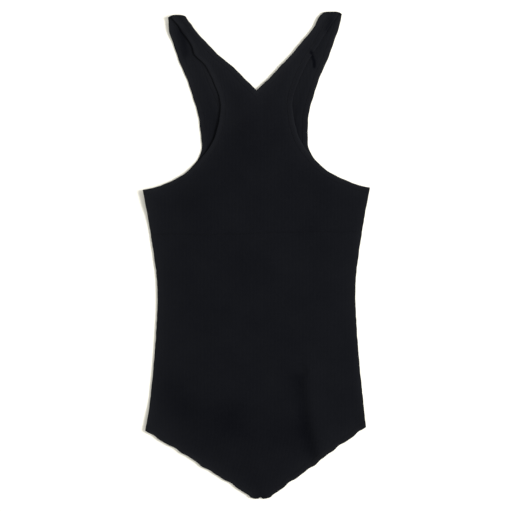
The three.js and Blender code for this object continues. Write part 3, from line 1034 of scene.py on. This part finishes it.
def jersey(name):
    """Light single jersey for the linings."""
    finish = Finish(name, 0.92, sheen=0.05, specular=0.25)
    place, u, v = finish.cloth_uv()
    wale = waves(u, 0.9 * MM)
    course = waves(v, 0.7 * MM, wale * 2)
    fibre = finish.noise(place, 2400.0)
    patch = finish.noise(place, 22.0)
    finish.bump(wale * 0.5 + course * 0.4 + fibre * 0.2, 0.12 * MM, 0.8)
    finish.put("Base Color", finish.mix(
        (wale * 0.3 + patch * 0.5).clamped(), (0.008, 0.0088, 0.0102, 1), (0.014, 0.015, 0.0168, 1)))
    finish.put("Roughness", (0.86 + fibre * 0.12).clamped())
    return finish.material


def spun_thread(name):
    """Twisted sewing thread with a slight lustre."""
    finish = Finish(name, 0.6, specular=0.12)
    place, u, v = finish.cloth_uv()
    twist = waves(u + v, 0.5 * MM)
    fibre = finish.noise(place, 3000.0)
    finish.bump(twist, 0.05 * MM, 0.8)
    finish.put("Base Color", finish.mix(
        (twist * 0.5 + fibre * 0.4).clamped(), (0.0014, 0.0017, 0.0026, 1), (0.0032, 0.0036, 0.0048, 1)))
    finish.put("Roughness", (0.5 + fibre * 0.2).clamped())
    return finish.material


def satin_ribbon(name):
    """Blank woven satin for the labels."""
    finish = Finish(name, 0.4, specular=0.45)
    place, _, v = finish.cloth_uv()
    weft = waves(v, 0.35 * MM)
    slub = finish.noise(place, 500.0)
    finish.bump(weft * 0.6 + slub * 0.4, 0.05 * MM, 0.7)
    finish.put("Base Color", finish.mix(
        (weft * 0.4 + slub * 0.5).clamped(), (0.022, 0.022, 0.024, 1), (0.045, 0.045, 0.048, 1)))
    finish.put("Roughness", (0.36 + slub * 0.2).clamped())
    return finish.material


def plain_floor(name, colour):
    """Smooth matt card, very slightly uneven in tone."""
    finish = Finish(name, 0.85, specular=0.2)
    place = Signal(finish, finish.node("ShaderNodeTexCoord").outputs["Object"])
    tone = finish.noise(place, 3.0)
    finish.put("Base Color", finish.mix(tone, opaque(colour, 0.99), opaque(colour)))
    return finish.material


# Every material made so far, by its name.
MATERIALS = {}


def material(name, make, *values):
    """The material of that name, made the first time it is asked for."""
    if name not in MATERIALS:
        MATERIALS[name] = make(name, *values)
    return MATERIALS[name]


def knit_material(scene):
    return material("rib_knit", rib_knit, scene.leotard_knit)


# ---------------------------------------------------------------- operators


def bound_edges(lay):
    """Every bound edge of the garment: its name, its Edge and whether it is on the back."""
    cut = edges(lay)
    found = [("front_neck", cut["front_neck"].across_centre(), False),
             ("back_neck", cut["back_neck"].across_centre(), True)]
    for side in ("left", "right"):
        for part, line, of_back in (
                ("front_armhole", "front_armhole", False), ("back_armhole", "back_armhole", True),
                ("front_leg", "leg", False), ("back_leg", "leg", True)):
            edge = cut[line] if side == "left" else cut[line].mirrored()
            found.append((f"{side}_{part}", edge, of_back))
    return found


class LEOTARD_OT_panels(bpy.types.Operator):
    """Make the front and back panels of rib knit"""

    bl_idname = "leotard.panels"
    bl_label = "Panels"

    def execute(self, context):
        lay = context.scene.leotard_lay
        cut = edges(lay)
        side = spaced(side_line(lay), lay.step)[1:-1]
        shares = column_shares(lay.columns)
        leg = cut["leg"].inset(PANEL_INSET)
        knit = knit_material(context.scene)

        for part, of_back, free in (("front", False, front_free), ("back", True, back_free)):
            name = f"{part}_panel"
            outer = joined_outline(leg, side, cut[f"{part}_armhole"].inset(PANEL_INSET))
            neck = cut[f"{part}_neck"].inset(PANEL_INSET)
            xy, faces = cloth_grid(outer, neck, shares, lay.step)
            height = back_panel_z(xy) if of_back else front_panel_z(xy, lay) - furrow(xy)
            painted_light = painted_sheen_and_shade(xy, free(xy), of_back)
            made = sheet_of(name, xy, faces, height, KNIT, painted_light, of_back)
            finish_piece(made, knit, "rib_knit", name)
        return {"FINISHED"}


class LEOTARD_OT_bindings(bpy.types.Operator):
    """Bind every free edge with a folded strip of knit over a tape of elastic"""

    bl_idname = "leotard.bindings"
    bl_label = "Bindings and Elastics"

    def execute(self, context):
        lay = context.scene.leotard_lay
        knit = knit_material(context.scene)
        elastic = material("braided_elastic", braided_elastic)
        section = binding_section()
        tape = flat_section(PANEL_INSET, ELASTIC_WIDTH, ELASTIC_LEVEL, ELASTIC)
        for name, edge, of_back in bound_edges(lay):
            def base(xy):
                return binding_base(xy, lay, of_back)

            fold = strip(f"{name}_binding", edge, section, base, of_back, flutter=0.05 * MM)
            finish_piece(fold, knit, "binding_knit", f"{name}_binding")
            inside = strip(f"{name}_elastic", edge, tape, base, of_back)
            finish_piece(inside, elastic, "elastic", f"{name}_elastic")
        return {"FINISHED"}


class LEOTARD_OT_linings(bpy.types.Operator):
    """Line the bust and the crotch inside the front"""

    bl_idname = "leotard.linings"
    bl_label = "Linings and Band"

    def execute(self, context):
        lay = context.scene.leotard_lay
        cut = edges(lay)
        side = spaced(SIDE_LINE, lay.step) - (SEAM_WIDTH + 3 * GAP, 0)
        shares = np.linspace(0, 1, lay.columns // 2)
        cloth = material("jersey", jersey)
        elastic = material("braided_elastic", braided_elastic)

        def sew_in(name, outer, neck, step, sag, thickness, stuff, slot):
            """Lays a piece inside the front, its top a sag below the knit."""
            xy, faces = cloth_grid(outer, neck, shares, step)
            height = front_panel_z(xy, lay) - sag - thickness
            made = sheet_of(name, xy, faces, height, thickness, 0.0)
            finish_piece(made, stuff, slot, name)

        def at_side(rise):
            """The place beside the side seam at that height."""
            return np.array([[np.interp(rise, side[:, 1], side[:, 0]), rise]])

        band_foot, band_top = UNDERBUST[1] - BAND_WIDTH / 2, UNDERBUST[1] + BAND_WIDTH / 2
        arm = cut["front_armhole"].inset(LINING_INSET)
        arm = arm[arm[:, 0] < np.interp(arm[:, 1], side[:, 1], side[:, 0])]
        flank = side[(side[:, 1] > band_foot) & (side[:, 1] < arm[0, 1] - 0.5 * MM)]
        sew_in("bust_lining", joined_outline(at_side(band_foot), flank, arm),
               cut["front_neck"].inset(LINING_INSET), 2 * lay.step,
               LINING_SAG, LINING, cloth, "lining_jersey")

        flank = flank[flank[:, 1] < band_top]
        sew_in("underbust_elastic", joined_outline(at_side(band_foot), flank, at_side(band_top)),
               None, lay.step, LINING_SAG + LINING + GAP, BAND, elastic, "elastic")

        leg = cut["leg"].inset(LINING_INSET)
        sew_in("gusset_lining", joined_outline(leg[leg[:, 1] < GUSSET_LENGTH]),
               None, 2 * lay.step, LINING_SAG, LINING, cloth, "lining_jersey")
        return {"FINISHED"}


def turned_end(name, centre, width, squareness, pointing, painted_light, notch=0.0):
    """The stitched turn where two layers meet at the end of a strap or at the crotch.

    A greater squareness keeps the end flat further out, and notch is the depth of the dent in it.
    """

    def reach(x):
        rounded = np.sqrt(np.clip(1 - np.abs(2 * x / width) ** squareness, 0.02, 1))
        return (SEAM_TURN - GAP) * (rounded - notch * bell((x + 0.5 * MM) / (2.8 * MM)))

    across = np.linspace(-1, 1, 41)
    turn = np.linspace(-math.pi / 2, math.pi / 2, 17)
    groove = 1 - 0.16 * bell(turn / 0.22)
    out = reach(across * width / 2)[:, None] * (np.cos(turn) * groove)[None, :]
    rise = SEAM_TOP / 2 * (1 + np.sin(turn) * 0.98)
    x = np.broadcast_to((centre[0] + across * width / 2)[:, None], out.shape)
    y = centre[1] + pointing * (GAP + out)
    xy = np.stack([x, y], axis=-1).reshape(-1, 2)
    z = np.broadcast_to(rise[None, :], out.shape).ravel()
    points = laid(xy, z)
    n = len(turn)
    faces = grid_faces(len(across), n)
    faces += [[i * n, (i + 1) * n, (i + 2) * n - 1, (i + 1) * n - 1] for i in range(len(across) - 1)]
    faces += [list(range(n)), list(range((len(across) - 1) * n, len(across) * n))]
    uv = np.stack([xy[:, 0], z], axis=1)
    made = new_object(name, points, faces, uv, painted_light)
    face_outwards(made)
    return made


class LEOTARD_OT_seams(bpy.types.Operator):
    """Join front to back at the sides, the shoulders and the crotch"""

    bl_idname = "leotard.seams"
    bl_label = "Seams"

    def execute(self, context):
        lay = context.scene.leotard_lay
        knit = knit_material(context.scene)
        thread = material("spun_thread", spun_thread)
        clear = BINDING + BINDING_CLEAR
        line = side_line(lay)
        line = line[(line[:, 1] > HIP[1] + clear) & (line[:, 1] < UNDERARM[1] - clear)]
        line = spaced(line, EDGE_STEP)
        tape = flat_section(2.4 * MM, SEAM_WIDTH - 2 * MM, 0, SEAM)

        def on_back(xy):
            return back_panel_z(xy) + KNIT + GAP

        for side, half in (("left", 1), ("right", -1)):
            edge = Edge(line * (half, 1), np.broadcast_to((-half, 0), line.shape).astype(float))
            allowance = strip(f"{side}_side_seam", edge, tape, on_back)
            finish_piece(allowance, thread, "seam_thread", f"{side}_side_seam")

            # The turned ends are painted paler, like the painted sheen along the edges: 0.9 at the
            # shoulders, 0.7 at the crotch.
            turned = turned_end(
                f"{side}_shoulder_seam", (half * STRAP_MIDDLE, SHOULDER_RISE), STRAP_WIDTH, 3.0, 1, 0.9)
            finish_piece(turned, knit, "seam_thread", f"{side}_shoulder_seam")

        turned = turned_end(
            "crotch_seam", (0, SEAM_TURN), 2 * CROTCH_HALF, 2.0, -1, 0.7, notch=0.94)
        finish_piece(turned, knit, "seam_thread", "crotch_seam")
        return {"FINISHED"}


class LEOTARD_OT_stitching(bpy.types.Operator):
    """Stitch down the bindings in two rows, and the band of elastic across the front"""

    bl_idname = "leotard.stitching"
    bl_label = "Stitching"

    def execute(self, context):
        lay = context.scene.leotard_lay
        thread = material("spun_thread", spun_thread)
        rows = {"front": [], "back": []}
        for _, edge, of_back in bound_edges(lay):
            low = binding_base(edge.at, lay, of_back)
            high = binding_base(edge.inset(BINDING), lay, of_back)
            for inset in STITCH_ROWS:
                z = low + (high - low) * inset / BINDING + STACK - top_fall(inset) - STITCH_SUNK
                line = laid(edge.inset(inset), z, of_back)
                run = run_of(line)
                at = np.arange(STITCH_END, run[-1] - STITCH_END, lay.stitch)
                row = np.stack([np.interp(at, run, line[:, k]) for k in range(3)], axis=1)
                rows["back" if of_back else "front"].append(row)
        for name, found in rows.items():
            made = stitches(f"{name}_binding_stitches", found)
            finish_piece(made, thread, "seam_thread")

        half = np.interp(UNDERBUST_LINE, SIDE_LINE[:, 1], SIDE_LINE[:, 0]) - 5 * MM
        x = np.arange(-half, half, lay.stitch)
        xy = np.stack([x, UNDERBUST_LINE + wander(x)], axis=1)
        z = front_panel_z(xy, lay) - furrow(xy) + KNIT + 0.04 * MM
        made = stitches("underbust_stitches", [laid(xy, z)])
        finish_piece(made, thread, "seam_thread")
        return {"FINISHED"}


class LEOTARD_OT_labels(bpy.types.Operator):
    """Sew in the two blank labels"""

    bl_idname = "leotard.labels"
    bl_label = "Labels"

    def execute(self, context):
        satin = material("satin_ribbon", satin_ribbon)
        low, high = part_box("care_label")
        bend, base = 0.32 * MM, low.z + 0.12 * MM
        span = high.x - low.x - bend - 0.3 * MM
        out = high.x - span * np.linspace(0, 1, 25)
        turn = np.linspace(-math.pi / 2, math.pi / 2, 9)
        lower = np.stack([out, np.full(len(out), base)], axis=1)
        fold = np.stack([high.x - span - bend * np.cos(turn), base + bend * (1 + np.sin(turn))], 1)
        upper = lower[::-1] + (0, 2 * bend)
        line = np.concatenate([lower, fold[1:-1], upper])
        across = np.linspace(low.y + 0.4 * MM, high.y - 0.4 * MM, 15)
        curl = 0.5 * MM * (np.abs(np.linspace(-1, 1, len(across))) ** 3)
        far = np.clip((high.x - line[:, 0]) / span, 0, 1) ** 2
        points = np.array(
            [(x, y, z + c * f) for y, c in zip(across, curl) for (x, z), f in zip(line, far)])
        points[:, 2] += off_floor(points[:, :2] - PLACE)
        uv = np.array([(g, y) for y in across for g in run_of(line)])
        faces = grid_faces(len(across), len(line))
        made = new_object("care_label", points, faces, uv, 0.0)
        apply(made, "SOLIDIFY", thickness=0.16 * MM, offset=0, use_rim=True)
        finish_piece(made, satin, "label_satin", "care_label")

        low, high = (np.array(corner)[:2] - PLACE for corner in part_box("neck_label"))
        across, up = np.linspace(low[0], high[0], 21), np.linspace(low[1], high[1], 11)
        xy = np.array([(x, y) for y in up for x in across])
        bow = 0.25 * MM * np.sin(np.linspace(0, math.pi, len(across)))
        points = laid(xy, back_panel_z(xy) + KNIT + GAP + np.tile(bow, len(up)), True)
        made = new_object("neck_label", points, grid_faces(len(up), len(across)), xy, 0.0)
        apply(made, "SOLIDIFY", thickness=0.3 * MM, offset=1, use_rim=True)
        finish_piece(made, satin, "label_satin", "neck_label")
        return {"FINISHED"}


class LEOTARD_OT_sheets(bpy.types.Operator):
    bl_idname = "leotard.sheets"
    bl_label = "Cut Sizes"

    def execute(self, context):
        def piece(node):
            return bpy.data.objects[piece_name(node)]

        trims = {"front": [], "back": []}
        for name, _, of_back in bound_edges(context.scene.leotard_lay):
            part = "back" if of_back else "front"
            trims[part] += [piece(f"{name}_binding"), piece(f"{name}_elastic")]
        trims["front"] += [piece(name) for name in (
            "front_binding_stitches", "underbust_stitches", "underbust_elastic")]
        trims["back"] += [piece(name) for name in (
            "back_binding_stitches", "left_side_seam", "right_side_seam", "left_shoulder_seam",
            "right_shoulder_seam", "crotch_seam")]
        return {"FINISHED"}


# Place of the key light, in lengths of the garment, how far the camera stands off the garment's
# centre, and half the width of its film in millimetres.
KEY_PLACE = (2.35, 0.25, 2.9)
CAMERA_OFF = (-0.7 * MM, -1.1 * MM)
HALF_FILM = 18


def point_at(made, target):
    """Turns a light to face a point."""
    aim = np.array(target) - np.array(made.location)
    made.rotation_mode = "QUATERNION"
    made.rotation_quaternion = Vector(aim).to_track_quat("-Z", "Y")


class LEOTARD_OT_stage(bpy.types.Operator):
    """Set the floor, the soft lights and the camera straight above"""

    bl_idname = "leotard.stage"
    bl_label = "Stage"

    def execute(self, context):
        scene, stage = context.scene, context.scene.leotard_stage
        low, high = CAD_BOX
        centre = (low + high) / 2
        length = high.y - low.y
        bpy.ops.mesh.primitive_plane_add(size=80 * length, location=(0, 0, low.z - 0.15 * MM))
        floor = context.object
        floor.name = "floor"
        floor.data.materials.append(material("floor_card", plain_floor, stage.floor_colour))

        bpy.ops.object.light_add(type="AREA", location=[share * length for share in KEY_PLACE])
        key = context.object
        key.name = "key_light"
        key.data.size = 1.3 * length
        key.data.energy = stage.key_power
        key.data.color = (1.0, 0.985, 0.955)
        point_at(key, centre)

        world = bpy.data.worlds.new("soft_surround")
        world.use_nodes = True
        sky = world.node_tree.nodes["Background"]
        sky.inputs["Color"].default_value = (1.0, 0.985, 0.93, 1.0)
        sky.inputs["Strength"].default_value = stage.fill
        scene.world = world

        away = length * stage.margin / 2 * stage.lens / HALF_FILM
        bpy.ops.object.camera_add(
            location=(centre.x + CAMERA_OFF[0], centre.y + CAMERA_OFF[1], high.z + away))
        camera = context.object
        camera.data.lens = stage.lens
        camera.data.clip_end = 20 * length
        scene.camera = camera
        scene.view_settings.view_transform = "Standard"
        return {"FINISHED"}


OPERATORS = (
    LEOTARD_OT_panels, LEOTARD_OT_bindings, LEOTARD_OT_linings, LEOTARD_OT_seams,
    LEOTARD_OT_stitching, LEOTARD_OT_labels, LEOTARD_OT_sheets, LEOTARD_OT_stage)


class LEOTARD_PT_panel(bpy.types.Panel):
    """Steps that build the leotard, in order"""

    bl_idname = "LEOTARD_PT_panel"
    bl_label = "Leotard"
    bl_space_type = "VIEW_3D"
    bl_region_type = "UI"
    bl_category = "Leotard"

    def draw(self, context):
        for kind in OPERATORS:
            self.layout.operator(kind.bl_idname)
        for group in ("leotard_knit", "leotard_lay", "leotard_stage"):
            settings = getattr(context.scene, group)
            box = self.layout.box()
            for name in settings.__annotations__:
                box.prop(settings, name)


GROUPS = {"leotard_knit": LeotardKnit, "leotard_lay": LeotardLay, "leotard_stage": LeotardStage}


def register():
    for name, group in GROUPS.items():
        bpy.utils.register_class(group)
        setattr(bpy.types.Scene, name, PointerProperty(type=group))
    for kind in (*OPERATORS, LEOTARD_PT_panel):
        bpy.utils.register_class(kind)


def unregister():
    for kind in (LEOTARD_PT_panel, *reversed(OPERATORS)):
        bpy.utils.unregister_class(kind)
    for name, group in GROUPS.items():
        delattr(bpy.types.Scene, name)
        bpy.utils.unregister_class(group)


def main():
    register()
    bpy.ops.leotard.panels()
    bpy.ops.leotard.bindings()
    bpy.ops.leotard.linings()
    bpy.ops.leotard.seams()
    bpy.ops.leotard.stitching()
    bpy.ops.leotard.labels()
    bpy.ops.leotard.sheets()
    bpy.ops.leotard.stage()


if __name__ == "__main__":
    main()
